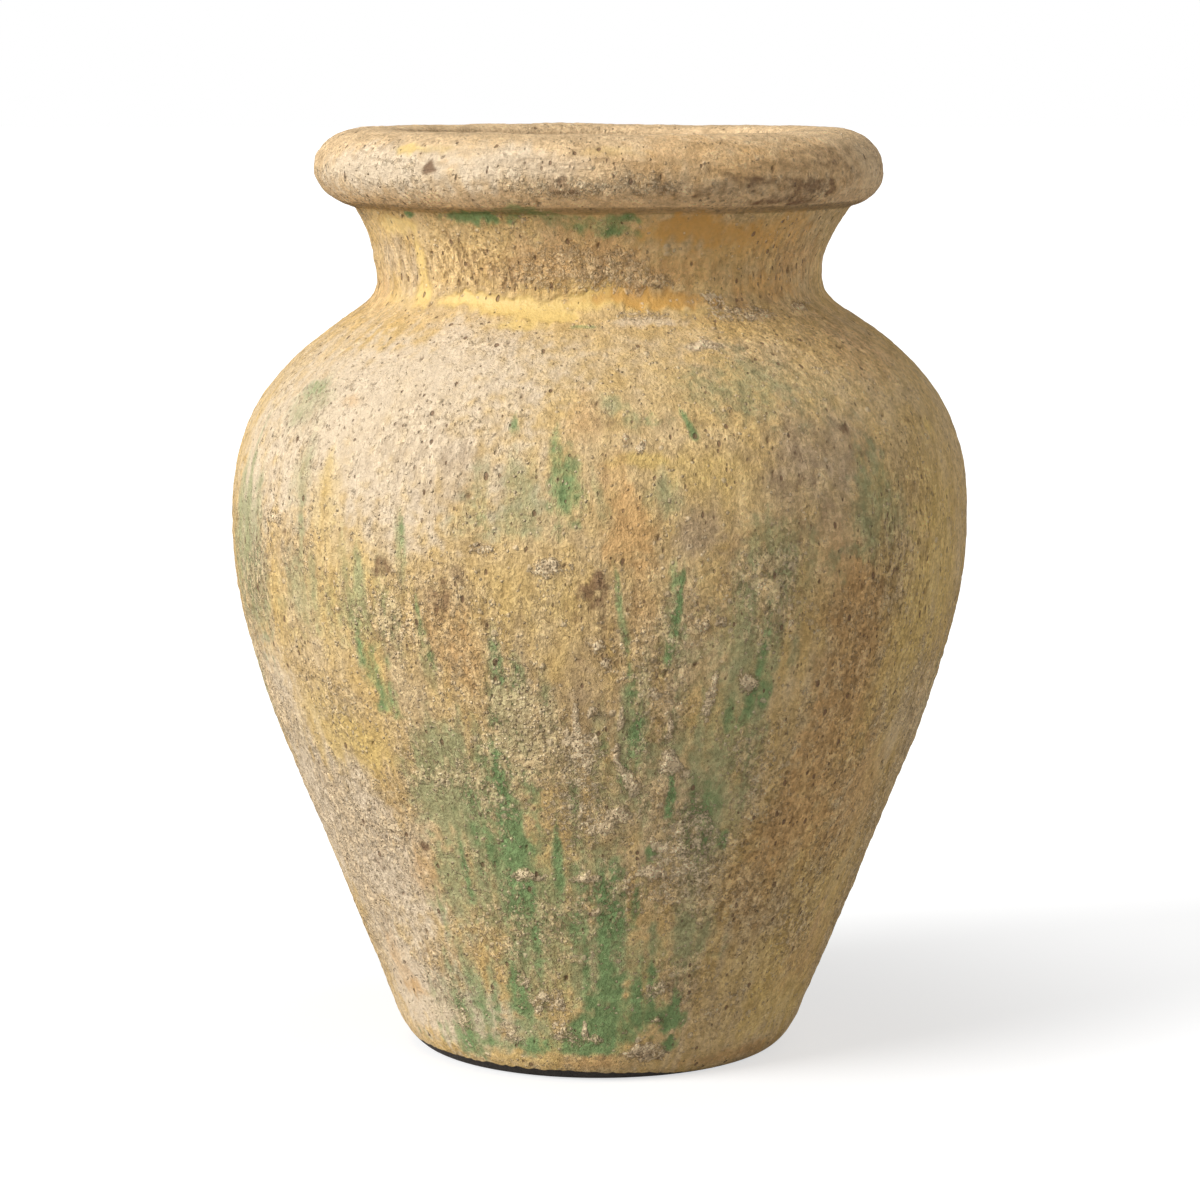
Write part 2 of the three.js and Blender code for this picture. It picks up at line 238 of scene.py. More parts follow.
CRUMBS = [
    (570, 266, 76, 30, 0.4), (622, 270, 44, 24, 0.5), (656, 282, 18, 10, 0.6), (640, 315, 44, 7, 0.3),
    (708, 298, 20, 8, 0.6), (740, 313, 44, 12, 0.5), (797, 306, 10, 6, 0.6), (645, 182, 44, 14, 0.4),
    (565, 188, 60, 13, 0.4), (582, 747, 26, 24, 0.6), (576, 718, 4, 22, 1.0), (567, 738, 4, 13, 1.0),
    (622, 722, 4, 16, 1.0), (617, 752, 5, 13, 1.0), (627, 776, 9, 18, 0.9, 0.6),
    (672, 763, 13, 17, 1.0, 0.4), (671, 730, 4, 17, 0.9), (712, 694, 6, 28, 0.8, -0.15),
    (748, 681, 13, 13, 0.9, 0.5), (618, 812, 13, 10, 1.0, -0.5), (607, 825, 11, 8, 1.0, -0.8),
    (658, 845, 10, 10, 1.0, 0.8), (653, 871, 18, 8, 0.9), (587, 878, 16, 6, 0.9), (526, 875, 18, 7, 0.8),
    (596, 912, 10, 6, 0.8), (626, 883, 8, 8, 0.7), (595, 713, 9, 7, 0.8), (655, 693, 11, 8, 0.7),
    (598, 646, 8, 8, 0.8), (606, 663, 6, 8, 0.7), (704, 626, 8, 6, 0.7), (721, 622, 8, 6, 0.7),
    (546, 567, 17, 11, 0.8), (523, 978, 9, 14, 0.5), (545, 1000, 18, 14, 0.5),
    (560, 1000, 8, 20, 0.5, 0.2), (510, 1030, 14, 14, 0.5), (563, 1030, 14, 18, 0.5, 0.3),
    (585, 1030, 4, 16, 0.6), (596, 1038, 8, 8, 0.5), (465, 1020, 9, 16, 0.6), (649, 992, 9, 9, 0.5),
    (661, 987, 10, 11, 0.6), (657, 1020, 8, 5, 0.6), (645, 1052, 22, 13, 1.0),
    (272, 516, 14, 8, 0.7, 0.6), (390, 826, 16, 8, 0.8), (700, 345, 16, 6, 0.9, 0.3),
    (624, 442, 4, 11, 0.9), (640, 445, 4, 9, 0.9, -0.5), (480, 548, 16, 6, 0.7), (580, 800, 50, 70, 0.3),
    (690, 850, 40, 60, 0.45),
]
PITTED = [
    (470, 262, 66, 34, 1.0), (400, 250, 30, 40, 0.6), (380, 150, 60, 14, 0.5), (560, 160, 90, 30, 0.4),
    (870, 650, 70, 140, 0.5), (800, 850, 70, 140, 0.6), (910, 520, 50, 100, 0.6), (790, 330, 90, 50, 0.5),
    (330, 800, 60, 90, 0.25), (400, 930, 40, 70, 0.25), (270, 600, 40, 110, 0.4),
    (420, 440, 70, 60, 0.35), (785, 258, 60, 44, 0.8), (720, 440, 90, 60, 0.3), (640, 620, 90, 90, 0.3),
]

# How a mark is drawn: how far it is looked for, how much it widens towards its foot, how much its edge
# frays, and where it fades from nothing to its full strength, in its own half sizes. Towards the
# silhouette a mark is widened and lengthened, by at most 1 over the two shares of LEAST_FACING.
MARK_REACH = 2.2
MARK_FLAME = 0.5
MARK_FRAY = 0.3
MARK_EDGE = (1.15, 0.25)
LEAST_FACING = (0.3, 0.35)

# How the hidden side repeats these marks: half a turn round, each a little out of place.
BACK_TURN = math.pi
BACK_SWAY = 0.28
BACK_RISE = 7

# Relief of the skin: sizes of its noises, spacing and radii of its dots, and heights of its forms.
SWELL_SIZE, SWELL_HEIGHT = 85, 0.55
DENT_SIZE, DENT_HEIGHT = 30, 0.28
GRAIN_SIZES, GRAIN_HEIGHTS = (12, 6, 3.1), (0.10, 0.10, 0.16)
PIT_SPACING, PIT_RADII, PIT_DEPTH = 5, (0.5, 1.4), 0.8
PIT_STRETCH = 1.6  # pits are this much longer down the wall than across it
KNOB_SPACING, KNOB_RADII, KNOB_SHARE, KNOB_HEIGHT = 6.5, (1.0, 2.8), 0.5, 0.3
FLAKE_HEIGHT = 0.3
LUMP_HEIGHT = 0.9
RING_HEIGHT, RING_TURN = 0.5, 0.62  # the throwing rings of the inside, and radians of them per millimetre
SKIN_FADE = 25  # over which the relief of the outside gives way to these rings

# Runs of glaze: drawn on a plain cylinder on which height counts for a share only, so that they are tall.
RUN_RADIUS = 120
RUN_SHARE = 0.1
RUN_SIZES = (15, 4.5)

# The dark strip round the foot: the side on which it is highest, and its least and greatest height.
SOOT_SIDE = math.radians(-42)
SOOT_HEIGHTS = (0.4, 4.6)

# How crumbly the crust is, by level, and how far green glaze keeps the crust off.
CRUMBLY_LEVELS = [0, 30, 80, 160, 210, 250, 300, 310, 325, 350, 362, 380]
CRUMBLY_SHARES = [0.2, 0.35, 0.48, 0.48, 0.4, 0.2, 0.18, 0.1, 0.25, 0.3, 0.3, 0.15]
GLASSY_LEVELS = [30, 70, 150, 200]
GLASSY_SHARES = [1, 0.3, 0.3, 0.8]
COVE_LEVELS = (290, 305)  # yellow glaze is smooth from the cove of the neck up

# How the axis wanders from upright, by level.
LEAN_LEVELS = [0, 85, 150, 248, 297, 328, 348, 364, 380]
LEAN_ACROSS = [-0.4, 0.4, -0.4, 0.2, 1.2, -0.6, 0.8, -1.0, -1.0]
WANDER_SIZE, WANDER = 140, 0.5

FRONT_DIP = 0.7  # how far the rim sags at the front

# Colours of the glaze, the crust and the clay, as linear red, green and blue.
GOLD = (0.80, 0.55, 0.22)
SAND = (0.82, 0.61, 0.34)
# Colour of the cream haze: pale glaze, also used as painted light on the lit side.
LIT_CREAM = (0.93, 0.75, 0.53)
PEACH = (0.90, 0.65, 0.39)
GLAZE_YELLOW = (0.87, 0.62, 0.22)
GLAZE_AMBER = (0.73, 0.40, 0.10)
GLAZE_GREEN = (0.27, 0.39, 0.16)
DULL_GREEN = (0.45, 0.46, 0.23)
TERRACOTTA = (0.82, 0.50, 0.21)
MAUVE = (0.50, 0.36, 0.23)
STAIN = (0.25, 0.14, 0.075)
SOOT_BLACK = (0.04, 0.031, 0.024)
INNER_CLAY = (0.40, 0.26, 0.15)

# The hazes laid over the glaze in turn: name, colour, cover, how much the crust breaks its edges and how
# much it runs down the wall.
HAZES = [
    ("cream", LIT_CREAM, 1.0, 0.3, 0.0),
    ("yellow", GLAZE_YELLOW, 0.9, 0.3, 0.0),
    ("amber", GLAZE_AMBER, 0.9, 0.3, 0.0),
    ("orange", TERRACOTTA, 0.9, 0.5, 0.15),
    ("grey", MAUVE, 0.8, 0.5, 0.0),
    ("moss", DULL_GREEN, 0.85, 0.9, 0.45),
    ("green", GLAZE_GREEN, 1.0, 0.9, 0.55),
]

# Sand stuck to the glaze, and dirt and painted shade at the foot of its grains and strings.
CRUST = (0.84, 0.62, 0.36)
CRUMB = (0.98, 0.78, 0.51)
# Dark brown, partly dirt and partly painted shade at the foot of grains and strings and in scratches.
DIRT_AND_SHADE = (0.34, 0.20, 0.09)
# Multipliers of painted shade for crevices and painted light for crests of the relief and of the higher
# grains.
PAINTED_SHADE_TINT = (0.71, 0.67, 0.62)
PAINTED_LIGHT_TINT = (1.32, 1.32, 1.31)

# Scales of the material's noises and specks, per metre.
WARP_SCALE, WARP_REACH = 420, 0.0009
RUBBLE_SCALE = 210
COMB_SCALE = 520
FLAKE_SCALE = 480
SAND_SCALE = 900
SPECK_SCALE = 330
CLOUD_SCALE = 85
BLOTCH_SCALE = 26
GRAIN_SCALE = 820
CLUMP_SCALE = 380
HOLE_SCALE = 330
PRICK_SCALE = 640

# Odd numbers that mix a cell's place, a seed and what comes of them, with the shifts between.
CELL_MIXERS = (0x8DA6B343, 0xD8163841, 0xCB1AB31F)
SEED_MIXER = 0x9E3779B1
LAST_MIXERS = ((15, 0x2C1B3C6D), (12, 0x297A2D39))
LAST_SHIFT = 15
WORD = 0xFFFFFFFF
TEN_BITS = 1023


def smooth(low, high, value):
    """0 below low, 1 above high, and an even S between them."""
    t = np.clip((value - low) / (high - low), 0, 1)
    return t * t * (3 - 2 * t)


# The outline as one path, from the middle of the underside, up the outside, over the rim, to the floor.

def wall(level):
    """Radius and slope of the outside of the wall, by cubics between the stations."""
    levels, radii, slopes = STATIONS.T
    i = np.clip(np.searchsorted(levels, level) - 1, 0, len(levels) - 2)
    rise = levels[i + 1] - levels[i]
    t = (level - levels[i]) / rise
    bend = slopes[i] * (t**3 - 2 * t**2 + t) + slopes[i + 1] * (t**3 - t**2)
    radius = radii[i] * (2 * t**3 - 3 * t**2 + 1) + radii[i + 1] * (3 * t**2 - 2 * t**3) + rise * bend
    slope = (radii[i + 1] - radii[i]) * 6 * (t - t**2) / rise
    slope = slope + slopes[i] * (3 * t**2 - 4 * t + 1) + slopes[i + 1] * (3 * t**2 - 2 * t)
    return radius, slope


def rounded(start, corner, end):
    """Points along a curve from start to end, drawn towards a corner."""
    t = np.linspace(0, 1, CORNER_POINTS)[:, None]
    return (1 - t) ** 2 * np.array(start) + 2 * t * (1 - t) * np.array(corner) + t**2 * np.array(end)


def outline():
    """Points of the path: radius and level."""
    level = np.arange(FOOT_TOP[1], CREASE_LEVEL, PATH_STEP)
    radius, slope = wall(level)
    angle = np.linspace(-CREASE_ANGLE, math.pi, ROLL_POINTS)
    across, up = np.cos(angle), np.sin(angle)
    mouth_side = across < 0
    across = np.where(mouth_side, -(np.abs(across) ** (2 / LIP_POWER)), across)
    up = np.where(mouth_side, np.abs(up) ** (2 / LIP_POWER), up)
    reach = np.where(mouth_side, ROLL_RADIUS - BORE_RADIUS, ROLL_REACH)
    rise = np.where(up > 0, ROLL_TOP, ROLL_UNDER)
    roll = np.column_stack([ROLL_RADIUS + reach * across, ROLL_LEVEL + rise * up])
    depth = WALL / np.hypot(1, slope)
    inside = np.column_stack([radius - depth, level + depth * slope])[level < WAIST_LEVEL][::-1]
    inside = inside[inside[:, 1] > FLOOR + FLOOR_FILLET]
    last = inside[-1]
    corner = (last[0] - CONE_SLOPE * (last[1] - FLOOR), FLOOR)
    return np.vstack([
        [(0, 0)],
        rounded((FOOT_RADIUS, 0), FOOT_CORNER, FOOT_TOP),
        np.column_stack([radius, level])[1:],
        roll,
        inside,
        rounded(last, corner, (corner[0] - FLOOR_FILLET, FLOOR))[1:],
        [(0, FLOOR)],
    ])


def even_path():
    """The outline at even steps, with its corners softened: distance along, points and outward normals."""
    raw = outline()
    along = np.concatenate([[0], np.cumsum(np.linalg.norm(np.diff(raw, axis=0), axis=1))])
    distance = np.linspace(0, along[-1], round(along[-1] / PATH_STEP))
    points = np.column_stack([np.interp(distance, along, raw[:, i]) for i in range(2)])
    reach = round(BLUR_REACH * PATH_BLUR / PATH_STEP)
    weights = np.exp(-0.5 * (np.arange(-reach, reach + 1) * PATH_STEP / PATH_BLUR) ** 2)
    padded = np.pad(points, ((reach, reach), (0, 0)), mode="edge")
    soft = np.column_stack([np.convolve(padded[:, i], weights / weights.sum(), "valid") for i in range(2)])
    soft[0], soft[-1] = raw[0], raw[-1]
    tangent = np.gradient(soft, axis=0)
    tangent /= np.linalg.norm(tangent, axis=1)[:, None]
    return distance, soft, np.column_stack([tangent[:, 1], -tangent[:, 0]])


PATH, PATH_POINTS, PATH_NORMALS = even_path()
TOP_INDEX = int(np.argmax(PATH_POINTS[:, 1]))
TOP_PLACE = TOP_INDEX * PATH_STEP  # about how far along the path the top of the rim lies


def path_values(values, distance):
    """Values kept along the path, at given distances along it."""
    return np.column_stack([np.interp(distance, PATH, values[:, i]) for i in range(2)])


def outside_at(level):
    """Distance along the path at which the outside reaches a level."""
    return float(np.interp(level, PATH_POINTS[: TOP_INDEX + 1, 1], PATH[: TOP_INDEX + 1]))


def inside_at(level):
    """Distance along the path at which the inside comes down to a level."""
    return float(np.interp(-level, -PATH_POINTS[TOP_INDEX:, 1], PATH[TOP_INDEX:]))


# Where the fine surface starts, at the edge of the underside, and ends, in the mouth.
GROUND_RING = float(np.interp(FOOT_RADIUS, PATH_POINTS[: TOP_INDEX // 2, 0], PATH[: TOP_INDEX // 2]))
MOUTH_END = inside_at(PATH_POINTS[TOP_INDEX, 1] - MOUTH_DEPTH)


# Seeded noise on a lattice.

def scatter(cells, seed):
    """A well mixed whole number for each cell of a lattice."""
    mixed = np.uint32((SEED + seed) * SEED_MIXER & WORD)
    for i, mixer in enumerate(CELL_MIXERS):
        mixed = mixed ^ cells[:, i].astype(np.uint32) * np.uint32(mixer)
    for shift, mixer in LAST_MIXERS:
        mixed = (mixed ^ (mixed >> np.uint32(shift))) * np.uint32(mixer)
    return mixed ^ (mixed >> np.uint32(LAST_SHIFT))


def shares(mixed, shift):
    """Ten bits of a mixed number as a share of 1."""
    return ((mixed >> np.uint32(shift)) & np.uint32(TEN_BITS)) / TEN_BITS


def noise(points, wavelength, seed):
    """Smooth noise about 0, mostly between -1 and 1."""
    scaled = points / wavelength
    cells = np.floor(scaled).astype(np.int64)
    within = scaled - cells
    ease = within**3 * (within * (within * 6 - 15) + 10)
    total = np.zeros(len(points))
    for corner in itertools.product((0, 1), repeat=3):
        mixed = scatter(cells + np.array(corner), seed)
        offset = within - np.array(corner)
        slope = sum((2 * shares(mixed, 10 * i) - 1) * offset[:, i] for i in range(3))
        total += slope * np.prod(np.where(corner, ease, 1 - ease), axis=1)
    return total * 2


def dots(points, spacing, radii, share, seed):
    """Round dots scattered in space: 1 in the middle of one, 0 outside. A share of the cells has one."""
    scaled = points / spacing
    cells = np.floor(scaled).astype(np.int64)
    best = np.zeros(len(points))
    for step in itertools.product((-1, 0, 1), repeat=3):
        cell = cells + np.array(step)
        mixed, size = scatter(cell, seed), scatter(cell, seed + 1)
        centre = cell + np.column_stack([shares(mixed, 10 * i) for i in range(3)])
        radius = radii[0] + (radii[1] - radii[0]) * shares(size, 0) ** 2
        gap = np.linalg.norm(scaled - centre, axis=1) * spacing / radius
        best = np.maximum(best, np.where(shares(size, 10) < share, 1 - gap, 0))
    return np.clip(best, 0, 1)


# Marks: from the photograph's pixels to places on the jar.

def under_pixel(x, y):
    """Azimuth and distance along the path of the point of the outside that a pixel shows."""
    camera = np.array([0, -CAMERA_BACK, CAMERA_HEIGHT])
    forward = np.array([0, math.cos(CAMERA_PITCH), -math.sin(CAMERA_PITCH)])
    up = np.array([0, math.sin(CAMERA_PITCH), math.cos(CAMERA_PITCH)])
    ray = forward + up * (FRAME_PX / 2 - y) / FOCAL_PX
    ray = ray + np.array([1, 0, 0]) * (x - FRAME_PX / 2) / FOCAL_PX
    near, far = (CAMERA_BACK + reach for reach in RAY_REACH)
    points = camera + np.linspace(near, far, RAY_STEPS)[:, None] * ray
    outside = PATH_POINTS[: TOP_INDEX + 1]
    gap = np.hypot(points[:, 0], points[:, 1]) - np.interp(points[:, 2], outside[:, 1], outside[:, 0])
    hit = int(np.argmax(gap < 0)) if np.any(gap < 0) else int(np.argmin(gap))
    px, py, pz = points[hit]
    return math.atan2(px, -py), outside_at(pz)


def placed(mark):
    """A mark on the jar: azimuth, distance along the path, half width, half height, strength and lean."""
    x, y, half_width, half_height, strength = mark[:5]
    azimuth, distance = under_pixel(x, y)
    pixel = CAMERA_BACK / FOCAL_PX
    normal = path_values(PATH_NORMALS, distance)[0]
    upright = normal[0] * math.cos(CAMERA_PITCH) + normal[1] * math.cos(azimuth) * math.sin(CAMERA_PITCH)
    across = half_width * pixel / max(math.cos(azimuth), LEAST_FACING[0])
    along = half_height * pixel / max(upright, LEAST_FACING[1])
    return azimuth, distance, across, along, strength, mark[5] if len(mark) > 5 else 0


def both_sides(marks, seed):
    """The marks on the shown side, and their loose repeat on the hidden one."""
    draws = np.random.default_rng(SEED + seed)
    front = [placed(mark) for mark in marks]
    back = []
    for azimuth, distance, *rest in front:
        sway, rise = draws.normal(0, 1, 2)
        back.append((azimuth + BACK_TURN + BACK_SWAY * sway, distance + BACK_RISE * rise, *rest))
    return front + back


MARK_SETS = {
    "moss": MOSS,
    "green": GREEN,
    "yellow": YELLOW,
    "amber": AMBER,
    "orange": ORANGE,
    "brown": BROWN,
    "grey": GREY,
    "cream": CREAM,
    "crumbs": CRUMBS,
    "pitted": PITTED,
}
MARKS = {name: both_sides(marks, seed) for seed, (name, marks) in enumerate(MARK_SETS.items())}


def marked(marks, azimuth, distance, radius, ragged, fingers):
    """How strongly each point is marked, from 0 to 1, with ragged edges and runs down the wall."""
    best = np.zeros(len(azimuth))
    for at, middle, across, along, strength, lean in marks:
        turn = (azimuth - at + math.pi) % (2 * math.pi) - math.pi
        close = np.abs(distance - middle) < MARK_REACH * along
        near = close & (np.abs(turn) * radius < MARK_REACH * (across + along))
        down = middle - distance[near]
        side = turn[near] * radius[near] - lean * down
        flame = 1 + MARK_FLAME * np.clip(down / along, -1, 1)
        gap = np.hypot(side / (across * flame), down / along + MARK_FRAY * fingers[near])
        gap = gap + MARK_FRAY * ragged[near]
        best[near] = 1 - (1 - best[near]) * (1 - strength * smooth(*MARK_EDGE, gap))
    return best


# The surface: where each point of the path goes, and what lies there.

def crust(values, level, dent):
    """How smooth the glaze is, and how crumbly the crust on it, from 0 to 1."""
    polish = np.maximum(values["yellow"] * smooth(*COVE_LEVELS, level), values["amber"])
    crumbly = np.interp(level, CRUMBLY_LEVELS, CRUMBLY_SHARES) * (1 + 0.9 * dent)
    glassy = values["green"] * np.interp(level, GLASSY_LEVELS, GLASSY_SHARES)
    crumbly = crumbly * (1 - 0.6 * np.maximum.reduce([values["orange"], values["yellow"], glassy]))
    return polish, np.clip(np.maximum(crumbly, values["crumbs"]) - 0.6 * polish, 0, 1)


def soot(azimuth, height):
    """How sooty the foot is, from 0 to 1. The strip is higher on one side."""
    facing = 0.5 + 0.5 * np.cos(azimuth - SOOT_SIDE)
    edge = SOOT_HEIGHTS[0] + (SOOT_HEIGHTS[1] - SOOT_HEIGHTS[0]) * smooth(0.6, 0.95, facing)
    return smooth(edge + 0.7, edge - 0.7, height)


def surface(azimuth, distance):
    """Points of the finished surface, and the values that its material reads."""
    base = path_values(PATH_POINTS, distance)
    normal = path_values(PATH_NORMALS, distance)
    radius, level = base.T
    round_x, round_y = np.sin(azimuth), -np.cos(azimuth)
    place = np.column_stack([radius * round_x, radius * round_y, level])
    run_place = np.column_stack([RUN_RADIUS * round_x, RUN_RADIUS * round_y, RUN_SHARE * distance])

    swell = noise(place, SWELL_SIZE, 1)
    dent = noise(place, DENT_SIZE, 2)
    coarse, middle, fine = (noise(place, size, seed) for seed, size in enumerate(GRAIN_SIZES, 3))
    wide_run, thin_run = (noise(run_place, size, seed) for seed, size in enumerate(RUN_SIZES, 6))
    ragged = 0.6 * middle + 0.6 * fine

    below_mouth = smooth(MOUTH_END, MOUTH_END - SKIN_FADE, distance)
    skin = smooth(GROUND_RING - 1, GROUND_RING + 12, distance) * below_mouth
    outer = smooth(TOP_PLACE + 14, TOP_PLACE + 4, distance)
    values = {
        name: marked(marks, azimuth, distance, np.maximum(radius, 1), ragged, thin_run) * outer
        for name, marks in MARKS.items()
    }
    polish, crumbly = crust(values, level, dent)

    pit_place = np.column_stack([place[:, :2], distance / PIT_STRETCH])
    pit_share = 0.12 + 0.7 * values["pitted"]
    pits = dots(pit_place, PIT_SPACING, PIT_RADII, pit_share, 20) * skin
    knobs = dots(place, KNOB_SPACING, KNOB_RADII, KNOB_SHARE, 30)
    knobs = smooth(0, 0.8, knobs + 0.25 * fine) * crumbly
    flakes = smooth(0.0, 0.3, middle + 0.6 * fine) * crumbly
    lumps = smooth(0.25, 0.8, values["crumbs"]) * (0.6 + 0.5 * fine)
    grains = sum(height * grain for height, grain in zip(GRAIN_HEIGHTS, (coarse, middle, fine)))
    relief = grains * (1 - 0.7 * polish) + KNOB_HEIGHT * knobs + FLAKE_HEIGHT * flakes + LUMP_HEIGHT * lumps
    relief = relief - PIT_DEPTH * smooth(0, 0.6, pits)
    rings = RING_HEIGHT * np.sin(distance * RING_TURN + 1.5 * swell) * (1 - skin)
    rings = rings * smooth(MOUTH_END - SKIN_FADE, MOUTH_END, distance)
    lift = skin * (SWELL_HEIGHT * swell + DENT_HEIGHT * dent + relief) + rings
    lift = np.where(distance < GROUND_RING, 0, lift)

    ring_point = base + normal * lift[:, None]
    lean = np.interp(level, LEAN_LEVELS, LEAN_ACROSS) + WANDER * noise(place, WANDER_SIZE, 9)
    dip = FRONT_DIP * np.clip(-round_y, 0, 1) * smooth(ROLL_LEVEL, ROLL_LEVEL + ROLL_TOP, level)
    points = np.column_stack([
        ring_point[:, 0] * round_x + lean,
        ring_point[:, 0] * round_y,
        np.maximum(ring_point[:, 1] - dip, 0),
    ])
    values.update(
        ridges=values["crumbs"],  # the marks by themselves, where crumbs stands for all of the crust
        crumbs=crumbly,
        pits=smooth(0.1, 0.6, pits),
        runs=np.clip(wide_run + 0.9 * thin_run, -1, 1) * smooth(290, 200, level),
        polish=polish,
        rim=smooth(CREASE_LEVEL - 1, CREASE_LEVEL + 3, level),
        soot=soot(azimuth, level + 0.5 * ragged) * outer,
        inside=smooth(TOP_PLACE + 12, TOP_PLACE + 34, distance),
    )
    return points, values


# Meshes: rings of points along a stretch of the path, joined into one closed skin.

def ring_count(distance, radius):
    """Points in the ring at a distance along the path."""
    if radius < TINY:
        return 1
    if GROUND_RING <= distance <= MOUTH_END:
        return SKIN_COLUMNS
    return POLE_COLUMNS if radius < POLE_RADIUS else INNER_COLUMNS


def span(start, end):
    """Ring places from start to end, close together where the surface is fine."""
    stops = [start, *[s for s in (GROUND_RING, MOUTH_END) if start < s < end], end]
    places = [start]
    for a, b in itertools.pairwise(stops):
        step = SKIN_STEP if GROUND_RING <= (a + b) / 2 <= MOUTH_END else INNER_STEP
        places.extend(np.linspace(a, b, max(2, round((b - a) / step) + 1))[1:])
    return places


def rings_between(low, high):
    """The rings round the clay between two levels: place, count and whether it is a joint's edge."""
    first = 0.0 if low is None else outside_at(low)
    last = float(PATH[-1]) if low is None else inside_at(low - BEVEL)
    stretches = [(first, last)]
    if high is not None:
        stretches = [(first, outside_at(high)), (inside_at(high - BEVEL), last)]
    joints = {first, last} if low is not None else set()
    if high is not None:
        joints |= {stretches[0][1], stretches[1][0]}
    rings = []
    for place in itertools.chain.from_iterable(span(*stretch) for stretch in stretches):
        edge = any(abs(place - joint) < TINY for joint in joints)
        count = SKIN_COLUMNS if edge else ring_count(place, np.interp(place, PATH, PATH_POINTS[:, 0]))
        rings.append((place, count, edge))
    return rings


def strip(start_a, count_a, start_b, count_b):
    """Faces between two rings, as groups of equal faces: corner points and their shares of a turn."""
    if count_a == count_b:
        j = np.arange(count_a)
        k = j + 1
        corners = np.column_stack([start_a + j, start_a + k % count_a, start_b + k % count_b, start_b + j])
        return [(corners, np.column_stack([j, k, k, j]) / count_a)]
    if count_a < count_b:
        flipped = strip(start_b, count_b, start_a, count_a)
        return [(corners[:, ::-1], turns[:, ::-1]) for corners, turns in flipped]
    ratio = count_a // count_b
    i = np.arange(count_a)
    apex = i // ratio + (2 * (i % ratio) >= ratio)
    apex_turn = (i + 0.5) / count_a if count_b == 1 else apex / count_b
    corners = np.column_stack([start_a + i, start_a + (i + 1) % count_a, start_b + apex % count_b])
    groups = [(corners, np.column_stack([i / count_a, (i + 1) / count_a, apex_turn]))]
    if count_b > 1:
        j = np.arange(count_b)
        tip = j * ratio + (ratio + 1) // 2
        corners = np.column_stack([start_a + tip, start_b + (j + 1) % count_b, start_b + j])
        groups.append((corners, np.column_stack([tip / count_a, (j + 1) / count_b, j / count_b])))
    return groups


def best_cuts(turn_length, loop_length):
    """How many lengths the texture map is cut into, so that it fills a square."""
    wanted = math.sqrt(turn_length / loop_length)
    return min(MAP_CUTS, key=lambda cuts: abs(math.log(cuts / wanted)))


def lengths_round(rings):
    """How far round the section each ring lies, from 0 to 1, and the lengths of the texture map."""
    section = path_values(PATH_POINTS, np.array([place for place, _, _ in rings]))
    steps = np.linalg.norm(np.roll(section, -1, axis=0) - section, axis=1)
    closed = rings[0][1] > 1
    steps = steps if closed else steps[:-1]
    cuts = best_cuts(2 * math.pi * section[:, 0].mean(), steps.sum())
    return np.concatenate([[0], np.cumsum(steps)]) / steps.sum(), cuts


def skin_faces(counts, heights, cuts):
    """Faces between the rings: their corner points, the number of corners of each, and the texture map."""
    starts = np.concatenate([[0], np.cumsum(counts)])
    indices, sizes, maps = [], [], []
    for k in range(len(heights) - 1):
        n = (k + 1) % len(counts)
        for corners, turns in strip(starts[k], counts[k], starts[n], counts[n]):
            on_first = (corners >= starts[k]) & (corners < starts[k] + counts[k])
            up = np.where(on_first, heights[k], heights[k + 1])
            cut = np.floor(turns.min(axis=1) * cuts + TINY)[:, None]
            u = MAP_INSET + (turns * cuts - cut) * (1 - 2 * MAP_INSET)
            v = (cut + MAP_INSET + up * (1 - 2 * MAP_INSET)) / cuts
            indices.append(corners.ravel())
            sizes.append(np.full(len(corners), corners.shape[1]))
            maps.append(np.column_stack([u.ravel(), v.ravel()]))
    return np.concatenate(indices), np.concatenate(sizes), np.concatenate(maps)


def joint_edges(mesh, rings, counts):
    """Which edges of the mesh lie on a ring that is a joint's edge."""
    ring_of = np.repeat(np.arange(len(rings)), counts)
    is_edge = np.array([edge for _, _, edge in rings])
    ends = np.empty(2 * len(mesh.edges), np.int32)
    mesh.edges.foreach_get("vertices", ends)
    first, second = ring_of[ends[::2]], ring_of[ends[1::2]]
    return (first == second) & is_edge[first]


def skin_mesh(name, rings):
    """A closed mesh through the rings, with the surface's values, sharp joint edges and a texture map."""
    counts = [count for _, count, _ in rings]
    turns = np.concatenate([np.arange(count) / count for count in counts])
    places = np.repeat([place for place, _, _ in rings], counts)
    points, values = surface(2 * math.pi * turns - math.pi, places)
    corners, sizes, texture = skin_faces(counts, *lengths_round(rings))

    mesh = bpy.data.meshes.new(name)
    mesh.vertices.add(len(points))
    mesh.vertices.foreach_set("co", (points * MM).astype(np.float32).ravel())
    mesh.loops.add(len(corners))
    mesh.loops.foreach_set("vertex_index", corners.astype(np.int32))
    mesh.polygons.add(len(sizes))
    mesh.polygons.foreach_set("loop_start", (np.cumsum(sizes) - sizes).astype(np.int32))
    mesh.update(calc_edges=True)
    mesh.shade_smooth()
    texture_map = mesh.uv_layers.new(name="OFBake")
    texture_map.data.foreach_set("uv", texture.astype(np.float32).ravel())
    for key, value in values.items():
        attribute = mesh.attributes.new(key, "FLOAT", "POINT")
        attribute.data.foreach_set("value", value.astype(np.float32))
    sharp = joint_edges(mesh, rings, counts)
    mesh.attributes.new("sharp_edge", "BOOLEAN", "EDGE").data.foreach_set("value", sharp)
    return mesh


# The material: golden and green glaze under a sandy, weathered crust.

